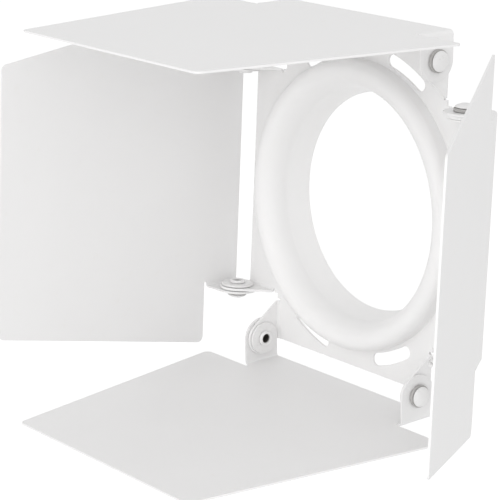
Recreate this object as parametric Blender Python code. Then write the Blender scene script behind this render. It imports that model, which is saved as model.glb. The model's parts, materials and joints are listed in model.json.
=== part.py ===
"""Four-leaf barn door for a round-fronted spotlight, in folded and drawn sheet metal.

A square frame plate carries a drawn, bell-mouthed collar, whose spigot reaches back into the
lamp head. Two ears are bent forward at each corner. Every leaf swings between two of them on
hollow rivets, held where it is put by the friction washers under their heads.

Metres, +Z up. The light leaves towards -Y. The origin is the middle of the aperture, on the
back face of the plate. On each side of the frame, u runs along the hinge line, v away from the
plate along the leaf, and w outward from the middle of the aperture.
"""

import math

import bmesh
import bpy
from mathutils import Matrix, Vector

# Frame plate
PLATE_HALF = 0.080
PLATE_SHEET = 0.0012
NOTCH_EDGE = 0.057
BEND_INNER_RADIUS = 0.001
RELIEF_WIDTH = 0.001

# Collar: a wall drawn up from the plate, a round shoulder, a bell mouth down to the throat and a
# tapered spigot behind the plate
COLLAR_OUTER_RADIUS = 0.0700
COLLAR_PROUD = 0.0100
COLLAR_SHOULDER = 0.0050
COLLAR_FILLET = 0.0011
THROAT_RADIUS = 0.0563
THROAT_DEPTH = 0.0015
SPIGOT_END_RADIUS = 0.0530
SPIGOT_LENGTH = 0.0135

# Curved slots outside the collar, two above and two below
SLOT_RADIUS = 0.0748
SLOT_WIDTH = 0.006
SLOT_MIDDLE_ANGLE = math.radians(66.8)
SLOT_HALF_ANGLE = math.radians(8.2)

# Pivots: each hinge line, and the stack of pieces along it, outward from the middle
PIVOT_FORWARD = 0.0102
PIVOT_OUT = 0.0784
EAR_INNER_FACE = 0.0560
EAR_BASE_START = 0.0605
EAR_END_RADIUS = 0.0087
EAR_SHOULDER = 0.001
PIVOT_HOLE_RADIUS = 0.0032
SEAT_GAP = 0.0003
CLAMP_WASHER_RADIUS = 0.0080
CLAMP_WASHER_THICK = 0.001
FRICTION_WASHER_RADIUS = 0.0054
FRICTION_WASHER_THICK = 0.0014
SHANK_RADIUS = 0.0029
SHANK_BORE_RADIUS = 0.0023
BORE_DEPTH = 0.0062
RING_RADIUS = 0.0038
RING_THICK = 0.0013
HEAD_RADIUS = 0.0048
HEAD_HEIGHT = 0.0021
HEAD_RIM = 0.0006

# Leaves
LEAF_SHEET = 0.001
LEAF_OFFSET = 0.0121
LEAF_HINGE_HALF = 0.0875
LEAF_FREE_HALF = 0.0653
LEAF_BODY_START = 0.0117
LEAF_FREE_EDGE = 0.140
LEAF_CORNER_RADIUS = 0.003
TAB_HALF_WIDTH = 0.0100
TAB_RELIEF_DEPTH = 0.001

# The side of the frame that each leaf hinges on, as a turn about Y from the bottom side, how far
# the leaf is swung outward from square to the plate, and the names of its two ends along +u, -u
SIDES = {
    "bottom": (0.0, math.radians(4.5), ("right", "left")),
    "left": (math.radians(90.0), math.radians(-3.7), ("lower", "upper")),
    "top": (math.radians(180.0), math.radians(-3.0), ("left", "right")),
    "right": (math.radians(-90.0), math.radians(37.8), ("upper", "lower")),
}

AROUND_COLLAR = 72
AROUND_PIVOT = 18
BEND_STEPS = 4
MERGE = 1e-6

WHITE_COAT = (0.80, 0.79, 0.78, 1.0)
LEAF_COAT = (0.77, 0.76, 0.75, 1.0)
RIVET_WHITE = (0.72, 0.71, 0.70, 1.0)
WASHER_WHITE = (0.68, 0.67, 0.66, 1.0)
FRICTION_GREY = (0.10, 0.10, 0.10, 1.0)


def clear_scene():
    for item in list(bpy.data.objects):
        bpy.data.objects.remove(item, do_unlink=True)


def make_material(name, colour, roughness, metallic):
    material = bpy.data.materials.new(name)
    material.use_nodes = True
    shader = material.node_tree.nodes["Principled BSDF"]
    shader.inputs["Base Color"].default_value = colour
    shader.inputs["Roughness"].default_value = roughness
    shader.inputs["Metallic"].default_value = metallic
    return material


def side_frame(turn, swing=0.0):
    """The pivot line's place, with local x, y, z along u, v and w of that side."""
    base = Matrix(((1, 0, 0), (0, -1, 0), (0, 0, -1)))
    place = Matrix.Rotation(turn, 3, "Y") @ base @ Matrix.Rotation(swing, 3, "X")
    centre = Matrix.Rotation(turn, 3, "Y") @ Vector((0.0, -PIVOT_FORWARD, -PIVOT_OUT))
    return Matrix.Translation(centre) @ place.to_4x4()


def arc(centre, radius, start, end, steps):
    """Points of an arc in a plane, both ends included."""
    angles = [start + (end - start) * step / steps for step in range(steps + 1)]
    return [(centre[0] + radius * math.cos(a), centre[1] + radius * math.sin(a)) for a in angles]


def tangent_angle(point, centre, radius, turn):
    """Angle on a circle where a line from an outside point touches it, on the side of turn."""
    dx, dy = point[0] - centre[0], point[1] - centre[1]
    angle = math.atan2(dy, dx) + turn * math.acos(radius / math.hypot(dx, dy))
    return math.remainder(angle, math.tau)


def circle(centre, radius, steps):
    return arc(centre, radius, 0.0, math.tau, steps)[:-1]


def rounded(points, radius, corners, steps=4):
    """A closed outline whose listed corners are rounded."""
    outline = []
    for index, point in enumerate(points):
        if index not in corners:
            outline.append(point)
            continue
        here = Vector(point)
        to_last = (Vector(points[index - 1]) - here).normalized()
        to_next = (Vector(points[(index + 1) % len(points)]) - here).normalized()
        half = to_last.angle(to_next) / 2
        centre = here + (to_last + to_next).normalized() * radius / math.sin(half)
        start = here + to_last * radius / math.tan(half) - centre
        end = here + to_next * radius / math.tan(half) - centre
        for step in range(steps + 1):
            spoke = start.normalized().slerp(end.normalized(), step / steps)
            outline.append(tuple(centre + radius * spoke))
    return outline


def fill_flat(mesh, loops, place):
    """Fill the area between flat closed loops, the first the outline and the rest holes."""
    edges = []
    for loop in loops:
        verts = [mesh.verts.new(place(*point)) for point in loop]
        for here, following in zip(verts, verts[1:] + verts[:1]):
            edges.append(mesh.edges.new((here, following)))
    bmesh.ops.triangle_fill(mesh, use_beauty=True, use_dissolve=False, edges=edges)


def fill_bend(mesh, ends, place):
    """A quarter bend: place(end, angle) gives a point of the sheet for each end of the bend line."""
    rows = []
    for step in range(BEND_STEPS + 1):
        angle = math.pi / 2 * step / BEND_STEPS
        rows.append([mesh.verts.new(place(end, angle)) for end in ends])
    for row, following in zip(rows, rows[1:]):
        mesh.faces.new((row[0], row[1], following[1], following[0]))


def finish_sheet(name, mesh, thickness, material):
    """Weld the flat and bent areas to one sheet and give it its thickness."""
    bmesh.ops.remove_doubles(mesh, verts=mesh.verts, dist=MERGE)
    bmesh.ops.recalc_face_normals(mesh, faces=mesh.faces)
    data = bpy.data.meshes.new(name)
    mesh.to_mesh(data)
    mesh.free()
    sheet = bpy.data.objects.new(name, data)
    bpy.context.scene.collection.objects.link(sheet)
    data.materials.append(material)
    data.shade_smooth()
    data.set_sharp_from_angle(angle=math.radians(30))
    solidify = sheet.modifiers.new("Sheet thickness", "SOLIDIFY")
    solidify.thickness = thickness
    solidify.offset = 0.0
    solidify.use_even_offset = True
    return sheet


def ear_outline(base_height):
    """Teardrop ear: along is the distance outward, height the distance in front of the back face."""
    centre = (PIVOT_OUT, PIVOT_FORWARD)
    inner = (EAR_BASE_START, base_height)
    outer = (PLATE_HALF, base_height)
    start = tangent_angle(inner, centre, EAR_END_RADIUS, -1)
    shoulder = base_height + EAR_SHOULDER - PIVOT_FORWARD
    end = math.asin(shoulder / EAR_END_RADIUS)
    return [inner] + arc(centre, EAR_END_RADIUS, start, end, 20) + [outer]


def add_ears(mesh):
    """Two ears at each notch, each bent forward from the plate and drilled for its pivot."""
    middle = PLATE_SHEET / 2
    bend = BEND_INNER_RADIUS + middle
    ear_plane = EAR_INNER_FACE + middle
    base_height = middle + bend
    hole = circle((PIVOT_OUT, PIVOT_FORWARD), PIVOT_HOLE_RADIUS, AROUND_PIVOT)
    for turn, _, _ in SIDES.values():
        side = Matrix.Rotation(turn, 3, "Y")
        for hand in (-1, 1):

            def bent(along, angle, side=side, hand=hand):
                across = ear_plane - bend + bend * math.sin(angle)
                height = middle + bend - bend * math.cos(angle)
                return side @ Vector((hand * across, -height, -along))

            def flat(along, height, side=side, hand=hand):
                return side @ Vector((hand * ear_plane, -height, -along))

            fill_bend(mesh, (EAR_BASE_START, PLATE_HALF), bent)
            fill_flat(mesh, [ear_outline(base_height), hole], flat)


def plate_outline():
    """The notched square, quarter by quarter, with a relief cut beside each bend."""
    line = EAR_INNER_FACE - BEND_INNER_RADIUS
    relief = EAR_BASE_START - RELIEF_WIDTH
    corner = [
        (line, -PLATE_HALF),
        (line, -EAR_BASE_START),
        (line, -relief),
        (NOTCH_EDGE, -relief),
        (NOTCH_EDGE, -NOTCH_EDGE),
        (relief, -NOTCH_EDGE),
        (relief, -line),
        (EAR_BASE_START, -line),
        (PLATE_HALF, -line),
    ]
    outline = []
    for quarter in range(4):
        turn = Matrix.Rotation(math.pi / 2 * quarter, 2)
        outline += [tuple(turn @ Vector(point)) for point in corner]
    return outline


def slot_outline(middle_angle):
    """A slot that follows the collar, with round ends."""
    first = middle_angle - SLOT_HALF_ANGLE
    last = middle_angle + SLOT_HALF_ANGLE
    half = SLOT_WIDTH / 2
    ends = [(SLOT_RADIUS * math.cos(a), SLOT_RADIUS * math.sin(a)) for a in (first, last)]
    outline = arc((0, 0), SLOT_RADIUS + half, first, last, 6)
    outline += arc(ends[1], half, last, last + math.pi, 8)[1:]
    outline += arc((0, 0), SLOT_RADIUS - half, last, first, 6)[1:]
    outline += arc(ends[0], half, first + math.pi, first + math.tau, 8)[1:-1]
    return outline


def collar_profile():
    """Middle of the sheet from the plate, over the bell mouth to the spigot's end, as radius, y."""
    middle = PLATE_SHEET / 2
    wall = COLLAR_OUTER_RADIUS - middle
    crest = middle - PLATE_SHEET - COLLAR_PROUD
    shoulder = COLLAR_SHOULDER - middle
    fillet_centre = (wall + COLLAR_FILLET, -middle - COLLAR_FILLET)
    shoulder_centre = (wall - shoulder, crest + shoulder)
    bell_width = shoulder_centre[0] - THROAT_RADIUS - middle
    bell_depth = THROAT_DEPTH - crest
    points = arc(fillet_centre, COLLAR_FILLET, math.pi / 2, math.pi, 2)
    points += arc(shoulder_centre, shoulder, 0.0, -math.pi / 2, 5)
    for out, down in arc((0, 0), 1.0, -math.pi / 2, -math.pi, 6)[1:]:
        points.append((shoulder_centre[0] + bell_width * out, THROAT_DEPTH + bell_depth * down))
    return points + [(SPIGOT_END_RADIUS + middle, SPIGOT_LENGTH)]


def add_collar(mesh, profile):
    verts = [mesh.verts.new((radius, y, 0.0)) for radius, y in profile]
    edges = [mesh.edges.new(pair) for pair in zip(verts, verts[1:])]
    bmesh.ops.spin(
        mesh,
        geom=verts + edges,
        cent=(0, 0, 0),
        axis=(0, 1, 0),
        angle=math.tau,
        steps=AROUND_COLLAR,
        use_merge=True,
    )


def make_frame_plate(material):
    mesh = bmesh.new()
    profile = collar_profile()
    add_collar(mesh, profile)
    slots = []
    for mirror_x in (-1, 1):
        for mirror_z in (-1, 1):
            outline = slot_outline(SLOT_MIDDLE_ANGLE)
            slots.append([(mirror_x * x, mirror_z * z) for x, z in outline])
    collar_edge = circle((0, 0), profile[0][0], AROUND_COLLAR)
    middle = PLATE_SHEET / 2
    loops = [plate_outline(), collar_edge] + slots
    fill_flat(mesh, loops, lambda x, z: Vector((x, -middle, z)))
    add_ears(mesh)
    return finish_sheet("frame_plate", mesh, PLATE_SHEET, material)


def tab_inner_face():
    return EAR_INNER_FACE + PLATE_SHEET + SEAT_GAP


def friction_washer_start():
    return tab_inner_face() + LEAF_SHEET + SEAT_GAP


def leaf_outline(bend_line):
    """Tapered body and narrower hinge extension, with a relief cut beside each tab."""
    half = [
        (bend_line, -TAB_HALF_WIDTH),
        (bend_line, TAB_HALF_WIDTH),
        (bend_line - TAB_RELIEF_DEPTH, TAB_HALF_WIDTH),
        (bend_line - TAB_RELIEF_DEPTH, LEAF_BODY_START),
        (LEAF_HINGE_HALF, LEAF_BODY_START),
        (LEAF_FREE_HALF, LEAF_FREE_EDGE),
    ]
    points = half + [(-u, v) for u, v in reversed(half)]
    return rounded(points, LEAF_CORNER_RADIUS, corners=(4, 5, 6, 7))


def make_leaf(side, turn, swing, material):
    mesh = bmesh.new()
    middle = LEAF_SHEET / 2
    bend = BEND_INNER_RADIUS + middle
    tab_plane = tab_inner_face() + middle
    bend_line = tab_plane - bend
    sheet_w = LEAF_OFFSET + middle
    fill_flat(mesh, [leaf_outline(bend_line)], lambda u, v: Vector((u, v, sheet_w)))
    width = TAB_HALF_WIDTH
    tab = [(-width, sheet_w - bend)] + arc((0, 0), width, -math.pi, 0.0, 20) + [(width, sheet_w - bend)]
    hole = circle((0, 0), PIVOT_HOLE_RADIUS, AROUND_PIVOT)
    for hand in (-1, 1):

        def bent(v, angle, hand=hand):
            across = bend_line + bend * math.sin(angle)
            return Vector((hand * across, v, sheet_w - bend + bend * math.cos(angle)))

        fill_bend(mesh, (-width, width), bent)
        fill_flat(mesh, [tab, hole], lambda v, w, hand=hand: Vector((hand * tab_plane, v, w)))
    leaf = finish_sheet(f"{side}_leaf", mesh, LEAF_SHEET, material)
    leaf.matrix_world = side_frame(turn, swing)
    return leaf


def make_round(name, profile, closed, place, material):
    """Turn a profile of (distance along the hinge line, radius) about the hinge line."""
    mesh = bmesh.new()
    verts = [mesh.verts.new((along, radius, 0.0)) for along, radius in profile]
    following = verts[1:] + verts[:1] if closed else verts[1:]
    edges = [mesh.edges.new(pair) for pair in zip(verts, following)]
    bmesh.ops.spin(
        mesh,
        geom=verts + edges,
        cent=(0, 0, 0),
        axis=(1, 0, 0),
        angle=math.tau,
        steps=AROUND_PIVOT,
        use_merge=True,
    )
    bmesh.ops.remove_doubles(mesh, verts=mesh.verts, dist=MERGE)
    bmesh.ops.recalc_face_normals(mesh, faces=mesh.faces)
    data = bpy.data.meshes.new(name)
    mesh.to_mesh(data)
    mesh.free()
    piece = bpy.data.objects.new(name, data)
    bpy.context.scene.collection.objects.link(piece)
    data.materials.append(material)
    data.shade_smooth()
    data.set_sharp_from_angle(angle=math.radians(30))
    piece.matrix_world = place
    return piece


def washer_profile(start, thickness, outer):
    end = start + thickness
    inner = PIVOT_HOLE_RADIUS
    return [(start, inner), (start, outer), (end, outer), (end, inner)]


def rivet_profile():
    """Hollow end with a rolled ring, shank, and a low domed head."""
    ring_start = EAR_INNER_FACE - 2 * SEAT_GAP - CLAMP_WASHER_THICK - RING_THICK
    ring_middle = (SHANK_BORE_RADIUS + RING_RADIUS) / 2
    ring_half = (RING_RADIUS - SHANK_BORE_RADIUS) / 2
    head_start = friction_washer_start() + FRICTION_WASHER_THICK + SEAT_GAP
    rise = HEAD_HEIGHT - HEAD_RIM
    dome_radius = (HEAD_RADIUS**2 + rise**2) / (2 * rise)
    dome_centre = head_start + HEAD_HEIGHT - dome_radius
    half_angle = math.asin(HEAD_RADIUS / dome_radius)
    profile = [(ring_start + BORE_DEPTH, 0.0), (ring_start + BORE_DEPTH, SHANK_BORE_RADIUS)]
    profile += arc((ring_start + ring_half, ring_middle), ring_half, -math.pi / 2, -1.5 * math.pi, 4)
    profile += [(ring_start + RING_THICK, RING_RADIUS), (ring_start + RING_THICK, SHANK_RADIUS)]
    profile += [(head_start, SHANK_RADIUS), (head_start, HEAD_RADIUS)]
    profile += arc((dome_centre, 0.0), dome_radius, half_angle, 0.0, 3)
    return profile


def make_pivot(side, turn, end, hand, materials):
    """The rivet, clamp washer and friction washer at one end of a leaf."""
    place = side_frame(turn) @ Matrix.Rotation(0.0 if hand > 0 else math.pi, 4, "Z")
    stem = f"{side}_leaf_{end}"
    clamp_start = EAR_INNER_FACE - SEAT_GAP - CLAMP_WASHER_THICK
    clamp = washer_profile(clamp_start, CLAMP_WASHER_THICK, CLAMP_WASHER_RADIUS)
    friction = washer_profile(friction_washer_start(), FRICTION_WASHER_THICK, FRICTION_WASHER_RADIUS)
    make_round(f"{stem}_rivet", rivet_profile(), False, place, materials["rivet"])
    make_round(f"{stem}_clamp_washer", clamp, True, place, materials["washer"])
    make_round(f"{stem}_friction_washer", friction, True, place, materials["friction"])


def main():
    clear_scene()
    plate_coat = make_material("White powder coat, plate", WHITE_COAT, 0.45, 0.0)
    leaf_coat = make_material("White powder coat, leaf", LEAF_COAT, 0.5, 0.0)
    pivot_materials = {
        "rivet": make_material("White painted rivet", RIVET_WHITE, 0.35, 0.0),
        "washer": make_material("White painted washer", WASHER_WHITE, 0.4, 0.0),
        "friction": make_material("Fibre friction washer", FRICTION_GREY, 0.8, 0.0),
    }
    make_frame_plate(plate_coat)
    for side, (turn, swing, ends) in SIDES.items():
        make_leaf(side, turn, swing, leaf_coat)
        for end, hand in zip(ends, (1, -1)):
            make_pivot(side, turn, end, hand, pivot_materials)


main()
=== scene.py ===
import json
import math

import bmesh
import bpy
from bpy.props import FloatProperty, FloatVectorProperty, IntProperty, PointerProperty
from mathutils import Matrix, Vector


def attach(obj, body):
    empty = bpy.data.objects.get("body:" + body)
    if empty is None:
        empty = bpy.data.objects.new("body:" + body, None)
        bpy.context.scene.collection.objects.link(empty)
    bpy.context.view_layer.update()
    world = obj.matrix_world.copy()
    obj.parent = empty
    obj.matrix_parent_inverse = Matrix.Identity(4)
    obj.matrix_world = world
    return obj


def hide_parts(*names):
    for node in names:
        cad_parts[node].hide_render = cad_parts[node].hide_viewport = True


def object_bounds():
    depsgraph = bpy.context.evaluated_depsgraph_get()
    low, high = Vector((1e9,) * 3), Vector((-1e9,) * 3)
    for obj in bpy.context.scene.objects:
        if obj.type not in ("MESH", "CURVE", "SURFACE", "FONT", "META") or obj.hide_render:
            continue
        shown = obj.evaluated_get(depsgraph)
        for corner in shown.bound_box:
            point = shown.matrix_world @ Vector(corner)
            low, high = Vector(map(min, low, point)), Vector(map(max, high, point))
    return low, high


bl_info = {
    "name": "Barn Door for a Spotlight",
    "version": (1, 0, 0),
    "blender": (4, 5, 0),
    "location": "3D View > Sidebar > Barn Door",
    "description": "Models a four-leaf barn door in white powder-coated sheet metal",
    "category": "Add Mesh",
}

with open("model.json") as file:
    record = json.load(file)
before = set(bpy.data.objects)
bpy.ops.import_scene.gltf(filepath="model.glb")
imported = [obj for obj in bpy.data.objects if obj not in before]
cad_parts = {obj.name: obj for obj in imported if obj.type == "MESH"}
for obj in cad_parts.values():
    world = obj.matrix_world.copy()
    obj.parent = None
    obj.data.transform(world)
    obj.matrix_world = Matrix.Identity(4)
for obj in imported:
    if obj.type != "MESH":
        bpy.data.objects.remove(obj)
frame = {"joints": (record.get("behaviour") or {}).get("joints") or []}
cad_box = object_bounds()
hinges = {joint["child"].replace("_leaf_body", ""): joint for joint in frame["joints"]}

MM = 0.001
MERGE_DISTANCE = 0.00002
QUARTER = math.pi / 2
ALONG_X = (0, QUARTER, 0)  # turns a flat or round primitive so that it faces along X
FLAT_ANGLE = math.radians(1.0)
CUT_ANGLE = math.radians(50.0)
SMOOTH_ANGLE = math.radians(35.0)

# Steps along the curves that the Detail settings leave out
CORNER_STEPS = 6
TAB_END_STEPS = 14
FILLET_STEPS = 5
SHOULDER_STEPS = 10
BELL_STEPS = 16
SPIGOT_STEPS = 3
RING_STEPS = 12
DOME_STEPS = 10
RIM_STEPS = 3
EDGE_STEPS = 2

# Each side of the frame: its turn about Y from the bottom side, how far its leaf is swung outward
# from square to the plate in the photograph, and the names of the leaf's two ends, with the one at
# the positive end of its hinge line first
SIDES = {
    "bottom": (0.0, 4.5, ("right", "left")),
    "left": (90.0, -3.7, ("lower", "upper")),
    "top": (180.0, -3.0, ("left", "right")),
    "right": (-90.0, 37.8, ("upper", "lower")),
}


def length(name, description, millimetres):
    """A length property whose default is given in millimetres."""
    return FloatProperty(
        name=name,
        description=description,
        default=millimetres * MM,
        min=0.0,
        unit="LENGTH",
        subtype="DISTANCE",
        precision=5,
    )


def plain_number(name, description, value, **limits):
    """A plain number property."""
    return FloatProperty(name=name, description=description, default=value, **limits)


def turn_size(name, description, degrees):
    """An angle property whose default is given in degrees."""
    return plain_number(name, description, math.radians(degrees), subtype="ANGLE")


def step_count(name, description, value, least):
    """A property that counts steps."""
    return IntProperty(name=name, description=description, default=value, min=least)


def colour(name, description, value):
    """A colour property in linear light."""
    return FloatVectorProperty(
        name=name, description=description, default=value, size=3, min=0.0, max=1.0, subtype="COLOR"
    )


class PlateSizes(bpy.types.PropertyGroup):
    """Sizes of the frame plate, its collar and its ears."""

    half_width: length("Half width", "Middle of the aperture to the plate's edge", 80.0)
    sheet: length("Sheet", "Thickness of the pressed plate", 1.2)
    notch: length("Notch", "Middle to the corner notch", 57.0)
    bend: length("Bend", "Inside radius of each ear's bend", 1.0)
    relief: length("Relief", "Width of the relief cut beside each ear", 1.0)
    ear_start: length("Ear start", "Middle to the inner end of each ear's bend", 60.5)
    ear_face: length("Ear face", "Middle of the side to the ear's inner face", 56.0)
    ear_round: length("Ear round", "Radius of the ear's round end", 8.7)
    ear_shoulder: length("Ear shoulder", "Height of the ear's outer shoulder above its bend", 1.0)
    collar: length("Collar radius", "Outside of the collar's wall", 70.0)
    proud: length("Collar height", "Collar's crest in front of the plate", 10.0)
    shoulder: length("Collar shoulder", "Outside radius of the collar's shoulder", 5.0)
    fillet: length("Collar fillet", "Middle radius where the collar rises from the plate", 1.1)
    throat: length("Throat radius", "Inside radius where the bell mouth is narrowest", 56.3)
    throat_depth: length("Throat depth", "Throat behind the plate's back face", 1.5)
    spigot: length("Spigot radius", "Inside radius at the spigot's end", 53.0)
    spigot_length: length("Spigot length", "Spigot behind the plate's back face", 13.5)
    slot_radius: length("Slot radius", "Middle line of the curved slots", 74.8)
    slot_width: length("Slot width", "Width of the curved slots", 6.0)
    slot_middle: turn_size("Slot middle", "A slot's middle above the side of the frame", 66.8)
    slot_half: turn_size("Slot half angle", "Half of the angle that a slot covers", 8.2)
    edge: length("Edge", "Radius that the coating gives each cut edge", 0.22)


class LeafSizes(bpy.types.PropertyGroup):
    """Sizes of one leaf. All four are alike."""

    sheet: length("Sheet", "Thickness of a leaf", 1.0)
    offset: length("Offset", "Hinge line to the leaf's inner face", 12.1)
    hinge_half: length("Hinge half width", "Half of the leaf's width at its hinge end", 87.5)
    free_half: length("Free half width", "Half of the leaf's width at its free edge", 65.3)
    start: length("Start", "Hinge line to the wide part of the leaf", 11.7)
    free_edge: length("Free edge", "Hinge line to the free edge", 140.0)
    corner: length("Corner", "Radius of the leaf's corners", 3.0)
    tab_half: length("Tab half width", "Half of the width of each bent tab", 10.0)
    tab_relief: length("Tab relief", "Step beside each tab's bend", 1.0)
    bend: length("Bend", "Inside radius of each tab's bend", 1.0)
    edge: length("Edge", "Radius that the coating gives each cut edge", 0.18)


class PivotSizes(bpy.types.PropertyGroup):
    """Sizes of a pivot's rivet and washers."""

    hole: length("Hole", "Radius of the hole through ear, tab and washers", 3.2)
    gap: length("Gap", "Clearance between neighbouring pieces", 0.3)
    clamp_radius: length("Clamp washer radius", "Radius of the washer inside the ear", 8.0)
    clamp_thick: length("Clamp washer", "Thickness of the washer inside the ear", 1.0)
    friction_radius: length("Friction washer radius", "Radius of the washer under the head", 5.4)
    friction_thick: length("Friction washer", "Thickness of the washer under the head", 1.4)
    shank: length("Shank", "Radius of the rivet's shank", 2.9)
    bore: length("Bore", "Radius of the rivet's hollow end", 2.3)
    bore_depth: length("Bore depth", "Depth of the rivet's hollow end", 6.2)
    bore_cone: length("Bore cone", "Depth of the cone at the bore's floor", 0.69)
    bore_tip: length("Bore tip", "Radius of the flat at the cone's tip", 0.25)
    floor_height: length("Floor corner height", "Height of the slope round the bore's floor", 0.3)
    floor_width: length("Floor corner width", "Width of the slope round the bore's floor", 0.15)
    ring_radius: length("Ring radius", "Outside radius of the rolled ring", 3.8)
    ring_thick: length("Ring", "Height of the rolled ring", 1.3)
    head_radius: length("Head radius", "Radius of the rivet's head", 4.8)
    head_height: length("Head height", "Height of the rivet's head", 2.1)
    head_rim: length("Head rim", "Straight rim under the head's dome", 0.6)
    edge: length("Edge", "Radius on the washers' rims", 0.2)


class Detail(bpy.types.PropertyGroup):
    """How finely round shapes are divided."""

    collar_steps: step_count("Collar", "Steps round the collar", 160, 24)
    pivot_steps: step_count("Pivot", "Steps round a rivet", 56, 12)
    bend_steps: step_count("Bend", "Steps across a bend", 8, 2)


class Finishes(bpy.types.PropertyGroup):
    """Colours of the coats, the shade painted inside the rivets, the fibre and the floor."""

    plate: colour("Plate coat", "White powder coat of the frame plate", (0.910, 0.905, 0.902))
    # A little darker than the plate's coat: painted shade for the leaves, which take less light
    # than the plate.
    leaf: colour("Leaf coat", "White powder coat of the leaves", (0.882, 0.877, 0.875))
    rivet: colour("Rivet paint", "Paint of the rivets", (0.885, 0.879, 0.876))
    washer: colour("Washer paint", "Paint of the washers", (0.875, 0.869, 0.866))
    # Painted shade: a dark colour laid inside the rivets' hollow ends, where shade falls.
    bare: colour("Bare metal", "Unpainted inside of the rivets", (0.070, 0.062, 0.056))
    # Partly the fibre's own grey and partly painted shade, which darkens the washers under the
    # rivet heads.
    fibre: colour("Fibre", "Friction washers of pressed fibre", (0.50, 0.49, 0.48))
    floor: colour("Floor", "Plain pale floor", (0.86, 0.86, 0.86))


# Materials

# Sizes of what the finishes are mottled with, and the depth of its relief
PEEL_SIZE, PEEL_DEPTH = 1.9 * MM, 0.020 * MM
GRAIN_SIZE, GRAIN_DEPTH = 0.35 * MM, 0.005 * MM
CLOUD_SIZE = 45 * MM
DUST_SIZE = 6 * MM
SPECK_SPACING = 7 * MM
BLOTCH_SIZE, BLOTCH_DEPTH = 2.2 * MM, 0.012 * MM
PAINT_GRAIN_SIZE, PAINT_GRAIN_DEPTH = 0.25 * MM, 0.004 * MM
PAINT_CLOUD_SIZE = 5 * MM
FIBRE_SIZE, FIBRE_DEPTH = 0.5 * MM, 0.05 * MM

PLATE_ROUGHNESS = 0.42
LEAF_ROUGHNESS = 0.46
RIVET_ROUGHNESS = 0.34
WASHER_ROUGHNESS = 0.38
FIBRE_ROUGHNESS = 0.92

# How far the hardware's paint is rubbed thin in spots, and the colour that it wears towards
RIVET_RUB = 0.2
WASHER_RUB = 0.15
WORN = (0.46, 0.42, 0.39, 1.0)

# Painted shade inside a rivet's hollow end, in millimetres. The shade comes in between the first
# two depths from the rivet's mouth. It ends between the numbers of each other pair, which are
# measured outward from the bore's wall and onward from its floor.
SHADE_FADES_IN = (0.5, 1.7)
PAST_WALL = (0.08, 0.20)
PAST_FLOOR = (0.8, 1.0)


class Signal:
    """One output socket of a shader graph, so that shader maths reads as ordinary arithmetic."""

    def __init__(self, graph, socket):
        self.graph = graph
        self.socket = socket

    def __add__(self, other):
        return self.graph.maths("ADD", self, other)

    __radd__ = __add__

    def __sub__(self, other):
        return self.graph.maths("SUBTRACT", self, other)

    def __rsub__(self, other):
        return self.graph.maths("SUBTRACT", other, self)

    def __mul__(self, other):
        return self.graph.maths("MULTIPLY", self, other)

    __rmul__ = __mul__


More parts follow.
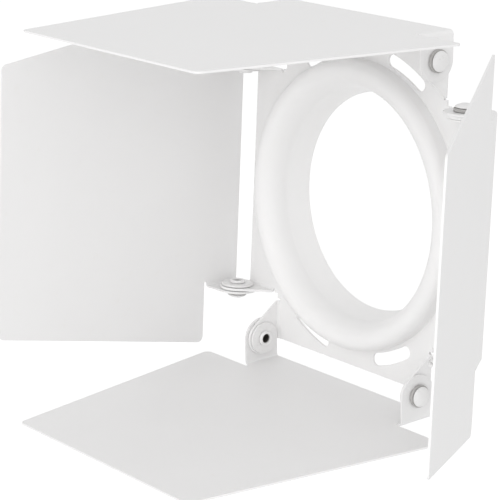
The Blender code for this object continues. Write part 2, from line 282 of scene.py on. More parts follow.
class Finish:
    """A node material being written for one of the object's finishes."""

    def __init__(self, name):
        self.material = bpy.data.materials.new(name)
        self.material.use_nodes = True
        self.tree = self.material.node_tree
        self.shader = self.tree.nodes["Principled BSDF"]
        self.place = self.node("ShaderNodeTexCoord", {}, [], output="Object")

    def plug(self, target, value):
        """Link a signal to a socket, or set the socket to a plain value."""
        if isinstance(value, Signal):
            self.tree.links.new(value.socket, target)
        else:
            target.default_value = value

    def node(self, kind, settings, values, output=0):
        """Add a node: its settings first, then the values or links of its sockets."""
        made = self.tree.nodes.new(kind)
        for key, value in settings.items():
            setattr(made, key, value)
        pairs = values.items() if isinstance(values, dict) else enumerate(values)
        for socket, value in pairs:
            self.plug(made.inputs[socket], value)
        return Signal(self, made.outputs[output])

    def maths(self, operation, *values):
        """One step of arithmetic on signals or plain numbers."""
        return self.node("ShaderNodeMath", {"operation": operation}, values)

    def noise(self, size, detail=2.0, roughness=0.5):
        """Noise from 0 to 1 whose blobs are about size metres across."""
        values = {"Vector": self.place, "Scale": 1 / size, "Detail": detail, "Roughness": roughness}
        return self.node("ShaderNodeTexNoise", {}, values, output="Fac")

    def cells(self, size):
        """Distance to the nearest of scattered points about size metres apart."""
        values = {"Vector": self.place, "Scale": 1 / size}
        return self.node("ShaderNodeTexVoronoi", {}, values, output="Distance")

    def fade(self, value, low, high):
        """0 at low, 1 at high, smooth between and level past them. Low may be the larger."""
        values = {"Value": value, "From Min": low, "From Max": high}
        settings = {"interpolation_type": "SMOOTHSTEP"}
        return self.node("ShaderNodeMapRange", settings, values)

    def tint(self, amount, first, second):
        """Mix two colours by an amount."""
        values = {0: amount, 6: first, 7: second}
        return self.node("ShaderNodeMix", {"data_type": "RGBA"}, values, output=2)

    def millimetres(self, axis):
        """The object coordinate along an axis."""
        return self.node("ShaderNodeSeparateXYZ", {}, [self.place], output=axis) * (1 / MM)

    def bore_shade_mask(self, pivots, mouth):
        """1 where shade is painted inside any of the eight rivets' hollow ends, and 0 elsewhere."""
        across, up = (self.maths("ABSOLUTE", self.millimetres(axis)) for axis in "XZ")
        ahead, out = (abs(value) / MM for value in hinges["top"]["pos_m"][1:])
        aside = self.maths("MAXIMUM", across, up) - out
        along = self.maths("MINIMUM", across, up)
        forward = self.millimetres("Y") + ahead
        start = mouth / MM
        floor = start + pivots.bore_depth / MM
        shade_begins, shade_full = (start + depth for depth in SHADE_FADES_IN)
        at_wall, off_wall = ((pivots.bore / MM + gap) ** 2 for gap in PAST_WALL)
        at_floor, off_floor = (floor + gap for gap in PAST_FLOOR)
        inside = self.fade(aside * aside + forward * forward, off_wall, at_wall)
        return inside * self.fade(along, shade_begins, shade_full) * self.fade(along, off_floor, at_floor)

    def set(self, socket, value):
        """Link a signal to one of the shader's sockets."""
        self.plug(self.shader.inputs[socket], value)

    def relief(self, layers):
        """Chain bump layers of (height signal, depth in metres)."""
        normal = None
        for height, depth in layers:
            values = {"Height": height, "Distance": depth, "Strength": 1.0}
            if normal is not None:
                values["Normal"] = normal
            normal = self.node("ShaderNodeBump", {}, values)
        self.set("Normal", normal)


def shade(rgb, factor):
    """A colour made darker or lighter, with its alpha."""
    return tuple(min(1.0, channel * factor) for channel in rgb) + (1.0,)


def powder_coat(name, rgb, roughness):
    """Satin powder coat: orange peel, fine grain, faint clouding, a little dust, a few specks."""
    finish = Finish(name)
    peel = finish.noise(PEEL_SIZE, detail=1.0)
    grain = finish.noise(GRAIN_SIZE, roughness=0.6)
    cloud = finish.noise(CLOUD_SIZE, detail=3.0)
    dust = finish.fade(finish.noise(DUST_SIZE, detail=4.0, roughness=0.65), 0.60, 0.78)
    speck = finish.fade(finish.cells(SPECK_SPACING), 0.045, 0.02)
    yellowed = (rgb[0], rgb[1] * 0.985, rgb[2] * 0.96)
    base = finish.tint(cloud, shade(rgb, 0.985), shade(rgb, 1.012))
    base = finish.tint(dust * 0.35, base, shade(yellowed, 0.955))
    base = finish.tint(speck * 0.25, base, shade(rgb, 0.72))
    finish.set("Base Color", base)
    finish.set("Roughness", roughness + 0.10 * (cloud - 0.5) + 0.06 * dust + 0.05 * (grain - 0.5))
    finish.relief([(peel, PEEL_DEPTH), (grain, GRAIN_DEPTH)])
    return finish.material


def paint_over(finish, rgb, roughness, rub):
    """Set the roughness and relief of painted hardware, and return its colour, worn in spots."""
    blotch = finish.noise(BLOTCH_SIZE, detail=4.0, roughness=0.6)
    grain = finish.noise(PAINT_GRAIN_SIZE)
    rubbed = finish.fade(blotch, 0.58, 0.72) * rub
    base = finish.tint(finish.noise(PAINT_CLOUD_SIZE), shade(rgb, 0.97), shade(rgb, 1.02))
    finish.set("Roughness", roughness + 0.12 * (blotch - 0.5) - 0.08 * rubbed)
    finish.relief([(blotch, BLOTCH_DEPTH), (grain, PAINT_GRAIN_DEPTH)])
    return finish.tint(rubbed, base, WORN)


def washer_paint(name, rgb):
    """Paint over a turned washer."""
    finish = Finish(name)
    finish.set("Base Color", paint_over(finish, rgb, WASHER_ROUGHNESS, WASHER_RUB))
    return finish.material


def rivet_paint(name, rgb, bare, pivots, mouth):
    """Paint over a rivet, with shade painted dark into its hollow end from a little way inside the
    mouth.
    """
    finish = Finish(name)
    painted = paint_over(finish, rgb, RIVET_ROUGHNESS, RIVET_RUB)
    # The rivets' hollow ends are painted dark as shade, from a little way past the mouth.
    finish.set("Base Color", finish.tint(finish.bore_shade_mask(pivots, mouth), painted, (*bare, 1.0)))
    return finish.material


def fibre_greyed_for_shade(name, rgb):
    """Friction washer, matt, with short light fibres. Its mid grey is partly the fibre's own colour
    and partly painted shade under the rivet heads.
    """
    finish = Finish(name)
    fibres = finish.noise(FIBRE_SIZE, detail=5.0, roughness=0.7)
    light = finish.fade(fibres, 0.52, 0.70)
    finish.set("Base Color", finish.tint(light, shade(rgb, 0.92), shade(rgb, 1.25)))
    finish.set("Roughness", FIBRE_ROUGHNESS - 0.10 * light)
    finish.relief([(fibres, FIBRE_DEPTH)])
    return finish.material


# Modelling helpers. Each works on one piece in edit mode, as by hand.


def deselect_all():
    """Leave edit mode and select nothing."""
    if bpy.context.object is not None and bpy.context.object.mode != "OBJECT":
        bpy.ops.object.mode_set(mode="OBJECT")
    bpy.ops.object.select_all(action="DESELECT")


def select_only(piece):
    """Select the piece alone and make it the active one."""
    deselect_all()
    piece.select_set(True)
    bpy.context.view_layer.objects.active = piece


def bake_place(piece, place=None):
    """Put the piece in place and move the place into its mesh."""
    select_only(piece)
    if place is not None:
        piece.matrix_world = place @ piece.matrix_world
    bpy.ops.object.transform_apply(location=True, rotation=True, scale=True)


def begin(name):
    """Name the primitive that was just added, bake its place and open it for editing."""
    piece = bpy.context.object
    piece.name = name
    piece.data.name = name
    bake_place(piece)
    bpy.ops.object.mode_set(mode="EDIT")
    return piece


def pick_parts(kind, chosen):
    """Select only the parts of the open mesh that a test chooses."""
    bpy.ops.mesh.select_mode(type=kind)
    bpy.ops.mesh.select_all(action="DESELECT")
    data = bpy.context.object.data
    mesh = bmesh.from_edit_mesh(data)
    parts = {"VERT": mesh.verts, "EDGE": mesh.edges, "FACE": mesh.faces}[kind]
    found = [part for part in parts if chosen(part)]
    for part in found:
        part.select_set(True)
    bmesh.update_edit_mesh(data)
    if not found:
        raise RuntimeError(f"nothing to pick on {data.name}")


def pick_points(test):
    """Select the vertices whose place passes a test."""
    pick_parts("VERT", lambda vert: test(vert.co))


def pick_rim(test):
    """Select the open edges, with less than two faces, whose ends both pass a test."""

    def on_rim(edge):
        return len(edge.link_faces) < 2 and all(test(vert.co) for vert in edge.verts)

    pick_parts("EDGE", on_rim)


def pick_faces(test):
    """Select the faces whose middle passes a test."""
    pick_parts("FACE", lambda face: test(face.calc_center_median()))


def near(value, target):
    """True where two lengths are the same but for rounding."""
    return abs(value - target) < MERGE_DISTANCE


def at(point, x=None, y=None, z=None):
    """True where a corner lies at each coordinate that is given."""
    targets = ((point.x, x), (point.y, y), (point.z, z))
    return all(target is None or near(value, target) for value, target in targets)


def turn_about(angle, centre, axis):
    """Turn what is selected by the right-hand rule, which is the other way round with no window."""
    bpy.ops.transform.rotate(value=-angle, orient_axis=axis, center_override=centre)


def sweep(angle, centre, axis, steps):
    """Spin what is selected about a centre by the right-hand rule."""
    bpy.ops.mesh.spin(steps=steps, angle=-angle, center=centre, axis=axis)


def extrude_edges(offset):
    """Draw new faces out of the selected edges."""
    bpy.ops.mesh.extrude_edges_move(TRANSFORM_OT_translate={"value": offset})


def fill_outline():
    """Fill the outlines that are drawn, and leave the holes between them open."""
    bpy.ops.mesh.select_mode(type="EDGE")
    bpy.ops.mesh.select_all(action="SELECT")
    bpy.ops.mesh.fill(use_beauty=True)


def weld():
    """Merge corners that lie on each other."""
    bpy.ops.mesh.select_mode(type="VERT")
    bpy.ops.mesh.select_all(action="SELECT")
    bpy.ops.mesh.remove_doubles(threshold=MERGE_DISTANCE)


def face_outwards():
    """Turn every face outward and leave edit mode."""
    bpy.ops.mesh.select_all(action="SELECT")
    bpy.ops.mesh.normals_make_consistent(inside=False)
    bpy.ops.object.mode_set(mode="OBJECT")


def apply_modifier(piece, kind, **settings):
    """Add a modifier to the piece and apply it."""
    select_only(piece)
    modifier = piece.modifiers.new(kind.title(), kind)
    for key, value in settings.items():
        setattr(modifier, key, value)
    bpy.ops.object.modifier_apply(modifier=modifier.name)


def drill(piece, radius, centre, reach, steps):
    """Cut a round hole through the piece along X."""
    deselect_all()
    bpy.ops.mesh.primitive_cylinder_add(
        vertices=steps, radius=radius, depth=reach, location=centre, rotation=ALONG_X
    )
    cutter = bpy.context.object
    apply_modifier(piece, "BOOLEAN", operation="DIFFERENCE", object=cutter)
    bpy.data.objects.remove(cutter, do_unlink=True)


def soften_edges(piece, radius):
    """Round every cut edge as the coating does, and shade the curves smooth."""
    limit = {"limit_method": "ANGLE", "angle_limit": CUT_ANGLE}
    apply_modifier(piece, "BEVEL", width=radius, segments=EDGE_STEPS, **limit)
    bpy.ops.object.shade_smooth_by_angle(angle=SMOOTH_ANGLE)
    apply_modifier(piece, "WEIGHTED_NORMAL", keep_sharp=True)


def copy_piece(piece, name):
    """A copy with its own mesh."""
    double = piece.copy()
    double.data = piece.data.copy()
    double.name = name
    double.data.name = name
    bpy.context.scene.collection.objects.link(double)
    return double


def join(piece, others):
    """Make the others part of the piece."""
    select_only(piece)
    for other in others:
        other.select_set(True)
    bpy.ops.object.join()


def dress(piece, material, slot, body, *nodes):
    """Give the piece its finish, hide the solids that it stands for, and attach it to what it rides
    on.
    """
    piece.data.materials.clear()
    piece.data.materials.append(material)
    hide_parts(*nodes)
    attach(piece, body)


def side_place(side, swing=0.0):
    """Where a side's hinge line lies, with x along it, y away from the plate and z outward."""
    base = Matrix(((1, 0, 0), (0, -1, 0), (0, 0, -1)))
    around = Matrix.Rotation(math.radians(SIDES[side][0]), 3, "Y")
    turned = around @ base @ Matrix.Rotation(math.radians(swing), 3, "X")
    return Matrix.Translation(Vector(hinges[side]["pos_m"])) @ turned.to_4x4()


def arc_points(centre, width, height, start, end, steps):
    """Points along an arc or part of an ellipse, without the first one."""
    points = []
    for step in range(1, steps + 1):
        angle = start + (end - start) * step / steps
        points.append((centre[0] + width * math.cos(angle), centre[1] + height * math.sin(angle)))
    return points


def raise_rings(start, profile, axis):
    """Extrude a ring of edges along a profile of (radius, distance along the axis)."""
    radius, place = start
    for next_radius, next_place in profile:
        along = Vector(axis)
        extrude_edges(along * (next_place - place))
        ratio = next_radius / radius
        scale = [1.0 if part else ratio for part in axis]
        bpy.ops.transform.resize(value=scale, center_override=along * next_place)
        radius, place = next_radius, next_place


# Frame plate, drawn flat: x as in the frame, y upward, z forward from the plate's back face.

STAND_UP = Matrix.Rotation(QUARTER, 4, "X")


def outline_plate(sizes):
    """Mark the blank at its notch, relief and bend lines, cut its corners and keep its outline."""
    middle = sizes.sheet / 2
    bend_line = sizes.ear_face - sizes.bend
    relief_line = sizes.ear_start - sizes.relief
    deselect_all()
    bpy.ops.mesh.primitive_plane_add(size=2 * sizes.half_width, location=(0, 0, middle))
    plate = begin("frame_plate_pressed")
    for mark in (bend_line, sizes.notch, relief_line, sizes.ear_start):
        for normal in (Vector((1, 0, 0)), Vector((0, 1, 0))):
            for hand in (-1, 1):
                bpy.ops.mesh.select_all(action="SELECT")
                bpy.ops.mesh.bisect(plane_co=normal * mark * hand, plane_no=normal)

    def in_notch(spot):
        low, high = sorted((abs(spot.x), abs(spot.y)))
        return low > bend_line and (low > sizes.notch or high > relief_line)

    pick_faces(in_notch)
    bpy.ops.mesh.delete(type="FACE")
    bpy.ops.mesh.select_all(action="SELECT")
    bpy.ops.mesh.dissolve_limited(angle_limit=FLAT_ANGLE, use_dissolve_boundaries=False)
    bpy.ops.mesh.select_mode(type="FACE")
    bpy.ops.mesh.select_all(action="SELECT")
    bpy.ops.mesh.delete(type="ONLY_FACE")
    return plate


def outline_slot(sizes, steps):
    """Sweep two points about the aperture for the slot's sides, then round its ends."""
    middle = sizes.sheet / 2
    half = sizes.slot_width / 2
    deselect_all()
    place = (sizes.slot_radius, -half, middle)
    bpy.ops.mesh.primitive_plane_add(size=sizes.slot_width, location=place)
    slot = begin("slot_outline")
    pick_points(lambda p: p.y < -half)
    bpy.ops.mesh.delete(type="VERT")
    bpy.ops.mesh.select_all(action="SELECT")
    bpy.ops.mesh.delete(type="EDGE_FACE")
    bpy.ops.mesh.select_all(action="SELECT")
    first = sizes.slot_middle - sizes.slot_half
    last = sizes.slot_middle + sizes.slot_half
    turn_about(first, (0, 0, 0), "Z")
    sweep(2 * sizes.slot_half, (0, 0, 0), (0, 0, 1), steps)
    for angle, hand in ((first, -1), (last, 1)):
        along = Vector((math.cos(angle), math.sin(angle), 0.0))
        centre = along * sizes.slot_radius + Vector((0, 0, middle))
        corner = centre + along * half
        pick_points(lambda p, corner=corner: (p - corner).length < MERGE_DISTANCE)
        sweep(hand * math.pi, centre, (0, 0, 1), steps)
    weld()
    bpy.ops.object.mode_set(mode="OBJECT")
    return slot


def add_slots(plate, sizes, steps):
    """The four slot outlines, one modelled and the rest mirrored."""
    first = outline_slot(sizes, steps)
    slots = [first]
    for number, scale in enumerate(((-1, 1, 1), (1, -1, 1), (-1, -1, 1))):
        slots.append(copy_piece(first, f"slot_outline_{number}"))
        bake_place(slots[-1], Matrix.Diagonal((*scale, 1)))
    join(plate, slots)
    bpy.ops.object.mode_set(mode="EDIT")


def collar_profile(sizes):
    """Middle of the sheet from the plate over the bell mouth to the spigot's end."""
    middle = sizes.sheet / 2
    wall = sizes.collar - middle
    crest = sizes.sheet + sizes.proud - middle
    shoulder = sizes.shoulder - middle
    foot = (wall + sizes.fillet, middle)
    shoulder_middle = (wall - shoulder, crest - shoulder)
    bell_middle = (wall - shoulder, -sizes.throat_depth)
    bell = (bell_middle[0] - sizes.throat - middle, crest + sizes.throat_depth)
    rise = (foot[0], middle + sizes.fillet)
    profile = arc_points(rise, sizes.fillet, sizes.fillet, -QUARTER, -2 * QUARTER, FILLET_STEPS)
    profile.append((wall, shoulder_middle[1]))
    profile += arc_points(shoulder_middle, shoulder, shoulder, 0.0, QUARTER, SHOULDER_STEPS)
    profile += arc_points(bell_middle, *bell, QUARTER, 2 * QUARTER, BELL_STEPS)
    rim = (sizes.spigot + middle, -sizes.spigot_length)
    throat = profile[-1]
    for step in range(1, SPIGOT_STEPS + 1):
        share = step / SPIGOT_STEPS
        profile.append(tuple(t + (r - t) * share for t, r in zip(throat, rim)))
    return foot, profile


def model_ear(sizes, pivots, detail):
    """One ear, bent up from the plate's edge, with its teardrop outline round the pivot."""
    middle = sizes.sheet / 2
    bend = sizes.bend + middle
    face = sizes.ear_face + middle
    hinge = hinges["bottom"]["pos_m"]
    pivot = Vector((face, hinge[2], -hinge[1]))
    foot = middle + bend
    inner = Vector((face, -sizes.ear_start, foot))
    outer = Vector((face, -sizes.half_width, foot))
    rise = foot + sizes.ear_shoulder - pivot.z
    shoulder_angle = math.asin(rise / sizes.ear_round)
    away = Vector((inner.y - pivot.y, inner.z - pivot.z))
    lean = math.acos(sizes.ear_round / away.length)
    tangent_angle = math.atan2(away.y, -away.x) - lean + math.tau

    def on_round(angle):
        out = sizes.ear_round * math.cos(angle)
        return pivot + Vector((0.0, -out, sizes.ear_round * math.sin(angle)))

    shoulder = on_round(shoulder_angle)
    tangent = on_round(tangent_angle)
    deselect_all()
    bpy.ops.mesh.primitive_plane_add(size=1.0, rotation=ALONG_X)
    ear = begin("ear")
    pick_points(lambda p: p.y > 0 and p.z > 0)
    bpy.ops.mesh.delete(type="VERT")
    for sign_y, sign_z, goal in ((1, -1, inner), (-1, -1, outer), (-1, 1, shoulder)):
        start = Vector((0.0, sign_y, sign_z)) / 2
        pick_points(lambda p, start=start: at(p, y=start.y, z=start.z))
        bpy.ops.transform.translate(value=goal - start)
    sweep_angle = tangent_angle - shoulder_angle
    sweep(-sweep_angle, pivot, (1, 0, 0), 4 * detail.bend_steps)
    ends = (inner, tangent)
    pick_points(lambda p: any((p - end).length < MERGE_DISTANCE for end in ends))
    bpy.ops.mesh.edge_face_add()
    bpy.ops.mesh.primitive_circle_add(
        vertices=detail.pivot_steps,
        radius=pivots.hole,
        fill_type="NOTHING",
        location=pivot,
        rotation=ALONG_X,
    )
    fill_outline()
    pick_rim(lambda p: at(p, z=foot))
    corner = (face - bend, 0.0, foot)
    sweep(QUARTER, corner, (0, 1, 0), detail.bend_steps)
    bpy.ops.object.mode_set(mode="OBJECT")
    return ear


class BARNDOOR_OT_frame_plate(bpy.types.Operator):
    """Press the notched plate, with its bell-mouthed collar, four slots and eight bent ears"""

    bl_idname = "barndoor.frame_plate"
    bl_label = "Frame Plate"

    def execute(self, context):
        sizes = context.scene.barn_plate
        detail = context.scene.barn_detail
        plate = outline_plate(sizes)
        bpy.ops.object.mode_set(mode="OBJECT")
        add_slots(plate, sizes, detail.bend_steps)
        foot, profile = collar_profile(sizes)
        place = (0, 0, foot[1])
        bpy.ops.mesh.primitive_circle_add(
            vertices=detail.collar_steps, radius=foot[0], fill_type="NOTHING", location=place
        )
        fill_outline()
        pick_rim(lambda p: near(p.xy.length, foot[0]))
        raise_rings(foot, profile, (0, 0, 1))
        bpy.ops.object.mode_set(mode="OBJECT")
        ear = model_ear(sizes, context.scene.barn_pivot, detail)
        ears = [ear]
        for number in range(1, 2 * len(SIDES)):
            ears.append(copy_piece(ear, f"ear_{number}"))
            turn = Matrix.Rotation(QUARTER * (number // 2), 4, "Z")
            mirror = Matrix.Diagonal((-1 if number % 2 else 1, 1, 1, 1))
            bake_place(ears[-1], turn @ mirror)
        join(plate, ears)
        bpy.ops.object.mode_set(mode="EDIT")
        weld()
        face_outwards()
        apply_modifier(plate, "SOLIDIFY", thickness=sizes.sheet, offset=0.0)
        soften_edges(plate, sizes.edge)
        bake_place(plate, STAND_UP)
        rgb = context.scene.barn_finish.plate
        coat = powder_coat("Powder coat on the plate", rgb, PLATE_ROUGHNESS)
        dress(plate, coat, "plate_coat", "frame", "frame_plate")
        return {"FINISHED"}


# Leaves, drawn with x along the hinge line, y away from the plate and z outward.


def tab_face(context):
    """Middle of the side to the tab's inner face, just past the ear."""
    plate = context.scene.barn_plate
    return plate.ear_face + plate.sheet + context.scene.barn_pivot.gap


def friction_face(context):
    """Middle of the side to the inner face of the washer under the rivet's head."""
    return tab_face(context) + context.scene.barn_leaf.sheet + context.scene.barn_pivot.gap


def round_corners(setback, steps):
    """Round the selected corners, starting the arcs a setback away from them."""
    bpy.ops.mesh.bevel(offset=setback, offset_type="OFFSET", segments=steps, affect="VERTICES")


def blank_leaf(sizes, wide):
    """The tapered body with its round corners and the hinge strip between the tabs."""
    middle = sizes.sheet / 2
    height = sizes.offset + middle
    span = sizes.free_edge - sizes.start
    deselect_all()
    bpy.ops.mesh.primitive_plane_add(size=1.0, location=(0, 0, 0))
    leaf = begin("leaf")
    whole = (2 * sizes.hinge_half, span, 1.0)
    bpy.ops.transform.resize(value=whole, center_override=(0, 0, 0))
    bpy.ops.transform.translate(value=(0.0, sizes.start + span / 2, height))
    pick_points(lambda p: at(p, y=sizes.free_edge))
    taper = sizes.free_half / sizes.hinge_half
    bpy.ops.transform.resize(value=(taper, 1.0, 1.0), center_override=(0, 0, 0))
    lean = math.atan2(sizes.hinge_half - sizes.free_half, span)
    for edge, hand in ((sizes.start, 1), (sizes.free_edge, -1)):
        setback = sizes.corner / math.tan((QUARTER - hand * lean) / 2)
        pick_points(lambda p, edge=edge: at(p, y=edge))
        round_corners(setback, CORNER_STEPS)
    for hand in (-1, 1):
        bpy.ops.mesh.select_all(action="SELECT")
        bpy.ops.mesh.bisect(plane_co=(hand * wide, 0, 0), plane_no=(1, 0, 0))
    pick_rim(lambda p: at(p, y=sizes.start) and abs(p.x) < wide + MERGE_DISTANCE)
    extrude_edges((0.0, sizes.tab_half - sizes.start, 0.0))
    extrude_edges((0.0, -2 * sizes.tab_half, 0.0))
    return leaf


def bend_tab(sizes, hand, wide, height):
    """Bend one tab in from the end of the hinge strip and round its end about the pivot."""
    bend = sizes.bend + sizes.sheet / 2
    steps = bpy.context.scene.barn_detail.bend_steps
    pick_rim(lambda p: at(p, x=hand * wide) and abs(p.y) < sizes.tab_half + MERGE_DISTANCE)
    extrude_edges((hand * sizes.tab_relief, 0.0, 0.0))
    bend_line = hand * (wide + sizes.tab_relief)
    sweep(hand * QUARTER, (bend_line, 0.0, height - bend), (0, 1, 0), steps)
    extrude_edges((0.0, 0.0, bend - height))
    extrude_edges((0.0, 0.0, -sizes.tab_half))
    pick_points(lambda p: at(p, x=bend_line + hand * bend, z=-sizes.tab_half))
    # The two arcs stop just short of each other, and the weld joins them
    almost_half = sizes.tab_half - MERGE_DISTANCE / 2
    round_corners(almost_half, TAB_END_STEPS)


def model_leaf(context):
    """The leaf that the four are copied from, flat out over its hinge line."""
    sizes = context.scene.barn_leaf
    pivots = context.scene.barn_pivot
    middle = sizes.sheet / 2
    bend = sizes.bend + middle
    face = tab_face(context) + middle
    wide = face - bend - sizes.tab_relief
    height = sizes.offset + middle
    leaf = blank_leaf(sizes, wide)
    for hand in (-1, 1):
        bend_tab(sizes, hand, wide, height)
    weld()
    face_outwards()
    apply_modifier(leaf, "SOLIDIFY", thickness=sizes.sheet, offset=0.0)
    drill(leaf, pivots.hole, (0, 0, 0), 4 * face, context.scene.barn_detail.pivot_steps)
    soften_edges(leaf, sizes.edge)
    return leaf


class BARNDOOR_OT_leaves(bpy.types.Operator):
    """Cut and bend one leaf, and hang a copy of it on each side of the frame"""

    bl_idname = "barndoor.leaves"
    bl_label = "Leaves"

    def execute(self, context):
        pattern = model_leaf(context)
        rgb = context.scene.barn_finish.leaf
        coat = powder_coat("Powder coat on the leaves", rgb, LEAF_ROUGHNESS)
        for side, (_, swing, _) in SIDES.items():
            leaf = copy_piece(pattern, f"{side}_leaf_sheet")
            bake_place(leaf, side_place(side, swing))
            dress(leaf, coat, "leaf_coat", f"{side}_leaf_body", f"{side}_leaf")
        bpy.data.objects.remove(pattern, do_unlink=True)
        return {"FINISHED"}


# Pivots: round pieces turned about the hinge line, which is x here.

# A head's dome starts at this share of its half angle, inside the rim's edge, and ends in a small
# flat, this far from the axis in radians
DOME_START = 0.985
DOME_END = 0.04


def turn_piece(name, profile, closed, steps):
    """Raise rings along a profile of (distance along x, radius), and join or cap its ends."""
    points = [(radius, place) for place, radius in profile]
    deselect_all()
    bpy.ops.mesh.primitive_circle_add(
        vertices=steps,
        radius=points[0][0],
        fill_type="NOTHING",
        location=(points[0][1], 0, 0),
        rotation=ALONG_X,
    )
    piece = begin(name)
    bpy.ops.mesh.select_mode(type="EDGE")
    bpy.ops.mesh.select_all(action="SELECT")
    raise_rings(points[0], points[1:], (1, 0, 0))
    if closed:
        raise_rings(points[-1], points[:1], (1, 0, 0))
    else:
        for radius, place in (points[0], points[-1]):
            pick_rim(lambda p: at(p, x=place) and near(p.yz.length, radius))
            bpy.ops.mesh.edge_face_add()
    weld()
    face_outwards()
    bpy.ops.object.shade_smooth_by_angle(angle=SMOOTH_ANGLE)
    return piece


def clamp_face(context):
    """Middle of the side to the inner face of the washer inside the ear."""
    sizes = context.scene.barn_pivot
    return context.scene.barn_plate.ear_face - sizes.gap - sizes.clamp_thick


def ring_face(context):
    """Middle of the side to the inner face of the rivet's rolled ring, where its bore opens."""
    sizes = context.scene.barn_pivot
    return clamp_face(context) - sizes.gap - sizes.ring_thick


def rivet_profile(context):
    """Hollow end with its rolled ring, the shank, and a low dome on a short rim."""
    sizes = context.scene.barn_pivot
    start = ring_face(context)
    ring_half = (sizes.ring_radius - sizes.bore) / 2
    ring_middle = (start + ring_half, sizes.bore + ring_half)
    floor = start + sizes.bore_depth
    profile = [(floor + sizes.bore_cone, sizes.bore_tip)]
    profile.append((floor, sizes.bore - sizes.floor_width))
    profile.append((floor - sizes.floor_height, sizes.bore))
    profile.append((ring_middle[0], sizes.bore))
    profile += arc_points(ring_middle, ring_half, ring_half, -QUARTER, -3 * QUARTER, RING_STEPS)
    profile.append((start + sizes.ring_thick, sizes.ring_radius))
    profile.append((start + sizes.ring_thick, sizes.shank))
    seat = friction_face(context) + sizes.friction_thick + sizes.gap
    rise = sizes.head_height - sizes.head_rim
    dome = (sizes.head_radius**2 + rise**2) / (2 * rise)
    half_angle = math.asin(sizes.head_radius / dome)
    dome_middle = (seat + sizes.head_height - dome, 0.0)
    profile.append((seat, sizes.shank))
    profile.append((seat, sizes.head_radius - sizes.edge))
    profile.append((seat + sizes.edge, sizes.head_radius))
    profile.append((seat + sizes.head_rim - sizes.edge, sizes.head_radius))
    first = half_angle * DOME_START
    profile += arc_points(dome_middle, dome, dome, first, DOME_END, DOME_STEPS)
    return profile


def washer_profile(start, thick, outer, hole, edge):
    """A flat ring with rounded rims."""
    end = start + thick
    near_rim = (start + edge, outer - edge)
    far_rim = (end - edge, outer - edge)
    profile = [(start, hole), (start, outer - edge)]
    profile += arc_points(near_rim, edge, edge, 2 * QUARTER, QUARTER, RIM_STEPS)
    profile.append((end - edge, outer))
    profile += arc_points(far_rim, edge, edge, QUARTER, 0.0, RIM_STEPS)
    return profile + [(end, hole)]


def pivot_copies(pattern, suffix, material, slot):
    """Hang a copy of the turned piece at each end of each hinge line."""
    for side, (_, _, ends) in SIDES.items():
        for end, turn in zip(ends, (0.0, math.pi)):
            node = f"{side}_leaf_{end}_{suffix}"
            piece = copy_piece(pattern, f"{node}_turned")
            bake_place(piece, side_place(side) @ Matrix.Rotation(turn, 4, "Z"))
            dress(piece, material, slot, "frame", node)
    bpy.data.objects.remove(pattern, do_unlink=True)


class BARNDOOR_OT_rivets(bpy.types.Operator):
    """Turn one hollow rivet and set a copy of it in each of the eight pivots"""

    bl_idname = "barndoor.rivets"
    bl_label = "Rivets"

    def execute(self, context):
        scene = context.scene
        steps = scene.barn_detail.pivot_steps
        rivet = turn_piece("rivet", rivet_profile(context), False, steps)
        # The second colour is the shade painted inside the rivets' bores.
        colours = (scene.barn_finish.rivet, scene.barn_finish.bare)
        mouth = ring_face(context)
        paint = rivet_paint("Paint on the rivets", *colours, scene.barn_pivot, mouth)
        pivot_copies(rivet, "rivet", paint, "rivet_paint")
        return {"FINISHED"}


class BARNDOOR_OT_washers(bpy.types.Operator):
    """Turn the clamp and friction washers and thread a copy of each on every rivet"""

    bl_idname = "barndoor.washers"
    bl_label = "Washers"

    def execute(self, context):
        finish = context.scene.barn_finish
        sizes = context.scene.barn_pivot
        shape = (clamp_face(context), sizes.clamp_thick, sizes.clamp_radius)
        paint = washer_paint("Paint on the washers", finish.washer)
        self.add_washers(context, "clamp_washer", shape, paint, "washer_paint")
        shape = (friction_face(context), sizes.friction_thick, sizes.friction_radius)
        # The fibre's grey is partly painted shade under the rivet heads.
        fibre = fibre_greyed_for_shade("Pressed fibre", finish.fibre)
        self.add_washers(context, "friction_washer", shape, fibre, "friction_fibre")
        return {"FINISHED"}

    def add_washers(self, context, name, shape, material, slot):
        """Turn one washer and hang its copies. Its shape is (inner face, thickness, radius)."""
        sizes = context.scene.barn_pivot
        profile = washer_profile(*shape, sizes.hole, sizes.edge)
        washer = turn_piece(name, profile, True, context.scene.barn_detail.pivot_steps)
        pivot_copies(washer, name, material, slot)


# Stage

WHITE = (1.0, 1.0, 1.0, 1.0)
SENSOR_WIDTH = 36.0
CLIP_START = 0.01
LAMP_SIZE = 2.2
LAMP_DISTANCE = 2.2
FLOOR_SIZE = 30.0
FLOOR_CUTS = 3
FLOOR_ROUGHNESS = 0.9

# Each lamp: its name, the setting that holds its power, and its azimuth and elevation in degrees
LAMPS = (
    ("Key lamp", "key", 15.0, 8.0),
    ("Fill lamp", "fill", 64.0, 8.0),
    ("Top lamp", "top", 30.0, 60.0),
)


def direction(azimuth, elevation):
    """Where a thing stands from the object: turned right from the front, and raised, in degrees."""
    across = math.cos(math.radians(elevation))
    turn = math.radians(azimuth)
    up = math.sin(math.radians(elevation))
    return Vector((math.sin(turn) * across, -math.cos(turn) * across, up))


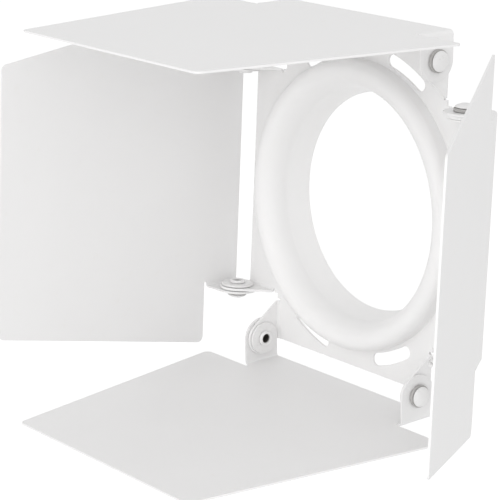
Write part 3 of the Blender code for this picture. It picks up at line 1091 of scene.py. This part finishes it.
def add_camera(stage):
    """The photograph's viewpoint: where it is, what it looks at and how far it is tilted."""
    data = bpy.data.cameras.new("Camera")
    camera = bpy.data.objects.new("Camera", data)
    bpy.context.scene.collection.objects.link(camera)
    back = direction(stage.azimuth, stage.elevation)
    look = (-back).to_track_quat("-Z", "Y").to_matrix().to_4x4()
    tilt = Matrix.Rotation(math.radians(stage.roll), 4, "Z")
    place = Matrix.Translation(Vector(stage.target) + back * stage.distance)
    camera.matrix_world = place @ look @ tilt
    data.lens = stage.lens
    data.sensor_width = SENSOR_WIDTH
    data.shift_x = stage.shift_x
    data.shift_y = stage.shift_y
    data.clip_start = CLIP_START
    bpy.context.scene.camera = camera


def add_lamp(name, azimuth, elevation, power):
    """A large soft lamp that faces the object, and that shiny surfaces don't mirror."""
    data = bpy.data.lights.new(name, "AREA")
    data.shape = "SQUARE"
    data.size = LAMP_SIZE
    data.energy = power
    lamp = bpy.data.objects.new(name, data)
    bpy.context.scene.collection.objects.link(lamp)
    towards = direction(azimuth, elevation)
    lamp.location = LAMP_DISTANCE * towards
    lamp.rotation_euler = (-towards).to_track_quat("-Z", "Y").to_euler()
    lamp.visible_glossy = False


def seen_directly(tree):
    """1 for rays from the camera and for those that a shiny or clear surface sends on, else 0."""
    path = tree.nodes.new("ShaderNodeLightPath")
    socket = path.outputs["Is Camera Ray"]
    for name in ("Is Glossy Ray", "Is Transmission Ray"):
        either = tree.nodes.new("ShaderNodeMath")
        either.operation = "MAXIMUM"
        tree.links.new(socket, either.inputs[0])
        tree.links.new(path.outputs[name], either.inputs[1])
        socket = either.outputs[0]
    return socket


class StageSettings(bpy.types.PropertyGroup):
    """Camera and light."""

    azimuth: plain_number("Azimuth", "Camera's turn to the right, degrees", 50.96)
    elevation: plain_number("Elevation", "Camera's height, degrees", 13.68)
    roll: plain_number("Roll", "Camera's tilt, degrees", 2.17)
    distance: length("Distance", "Camera to the point it looks at", 1028.5)
    target: FloatVectorProperty(
        name="Target",
        description="Point that the camera looks at",
        default=(-0.0076, -0.0600, -0.0181),
    )
    lens: plain_number("Lens", "Focal length in millimetres", 158.67)
    shift_x: plain_number("Shift X", "Sideways shift of the picture", -0.0005)
    shift_y: plain_number("Shift Y", "Upward shift of the picture", 0.0057)
    ambient: plain_number("Ambient", "Strength of the even light", 0.72, min=0.0)
    key: plain_number("Key lamp", "Watts of the front lamp", 15.2, min=0.0)
    fill: plain_number("Fill lamp", "Watts of the lamp on the right", 12.2, min=0.0)
    top: plain_number("Top lamp", "Watts of the lamp overhead", 2.0, min=0.0)
    floor_drop: length("Floor drop", "Lowest point of the object to the floor", 420.0)
    floor_lift: plain_number("Floor lift", "Glow that makes the floor white", 0.41)


class BARNDOOR_OT_stage(bpy.types.Operator):
    """Set up the camera, the soft lamps and the plain pale floor"""

    bl_idname = "barndoor.stage"
    bl_label = "Stage"

    def execute(self, context):
        scene = context.scene
        stage = scene.barn_stage
        scene.view_settings.view_transform = "Standard"
        add_camera(stage)
        for name, power, azimuth, elevation in LAMPS:
            add_lamp(name, azimuth, elevation, getattr(stage, power))
        self.add_sky(scene, stage.ambient)
        self.add_floor(stage.floor_drop, stage.floor_lift, scene.barn_finish.floor)
        return {"FINISHED"}

    def add_sky(self, scene, ambient):
        """Even light all round, which is seen as white."""
        world = bpy.data.worlds.new("Studio")
        world.use_nodes = True
        scene.world = world
        tree = world.node_tree
        even = tree.nodes["Background"]
        even.inputs["Color"].default_value = WHITE
        even.inputs["Strength"].default_value = ambient
        white = tree.nodes.new("ShaderNodeBackground")
        white.inputs["Color"].default_value = WHITE
        mix = tree.nodes.new("ShaderNodeMixShader")
        tree.links.new(seen_directly(tree), mix.inputs[0])
        tree.links.new(even.outputs[0], mix.inputs[1])
        tree.links.new(white.outputs[0], mix.inputs[2])
        tree.links.new(mix.outputs[0], tree.nodes["World Output"].inputs["Surface"])

    def add_floor(self, drop, lift, paint):
        """A wide pale floor that takes the object's shadow, lifted to white where it is seen."""
        low, _ = cad_box
        deselect_all()
        bpy.ops.mesh.primitive_plane_add(size=FLOOR_SIZE, location=(0, 0, low.z - drop))
        floor = begin("floor")
        bpy.ops.mesh.subdivide(number_cuts=FLOOR_CUTS)
        bpy.ops.object.mode_set(mode="OBJECT")
        material = bpy.data.materials.new("Floor paper")
        material.use_nodes = True
        tree = material.node_tree
        shader = tree.nodes["Principled BSDF"]
        shader.inputs["Base Color"].default_value = (*paint, 1.0)
        shader.inputs["Roughness"].default_value = FLOOR_ROUGHNESS
        shader.inputs["Emission Strength"].default_value = lift
        tree.links.new(seen_directly(tree), shader.inputs["Emission Color"])
        floor.data.materials.append(material)


class BARNDOOR_PT_panel(bpy.types.Panel):
    """Lists the steps and the sizes"""

    bl_idname = "BARNDOOR_PT_panel"
    bl_label = "Barn Door"
    bl_space_type = "VIEW_3D"
    bl_region_type = "UI"
    bl_category = "Barn Door"

    def draw(self, context):
        layout = self.layout
        for step in STEPS:
            layout.operator(step.bl_idname)
        for group in GROUPS:
            box = layout.box()
            box.label(text=group.replace("_", " ").title())
            settings = getattr(context.scene, group)
            for name in settings.__annotations__:
                box.prop(settings, name)


STEPS = (
    BARNDOOR_OT_frame_plate,
    BARNDOOR_OT_leaves,
    BARNDOOR_OT_rivets,
    BARNDOOR_OT_washers,
    BARNDOOR_OT_stage,
)
GROUPS = {
    "barn_plate": PlateSizes,
    "barn_leaf": LeafSizes,
    "barn_pivot": PivotSizes,
    "barn_detail": Detail,
    "barn_finish": Finishes,
    "barn_stage": StageSettings,
}


def register():
    """Add the settings, the steps and the panel to Blender."""
    for part in (*GROUPS.values(), *STEPS, BARNDOOR_PT_panel):
        bpy.utils.register_class(part)
    for name, group in GROUPS.items():
        setattr(bpy.types.Scene, name, PointerProperty(type=group))


def unregister():
    """Take away what register added."""
    for name in GROUPS:
        delattr(bpy.types.Scene, name)
    for part in reversed((*GROUPS.values(), *STEPS, BARNDOOR_PT_panel)):
        bpy.utils.unregister_class(part)


def main():
    """Build the whole scene."""
    register()
    bpy.ops.barndoor.frame_plate()
    bpy.ops.barndoor.leaves()
    bpy.ops.barndoor.rivets()
    bpy.ops.barndoor.washers()
    bpy.ops.barndoor.stage()


if __name__ == "__main__":
    main()
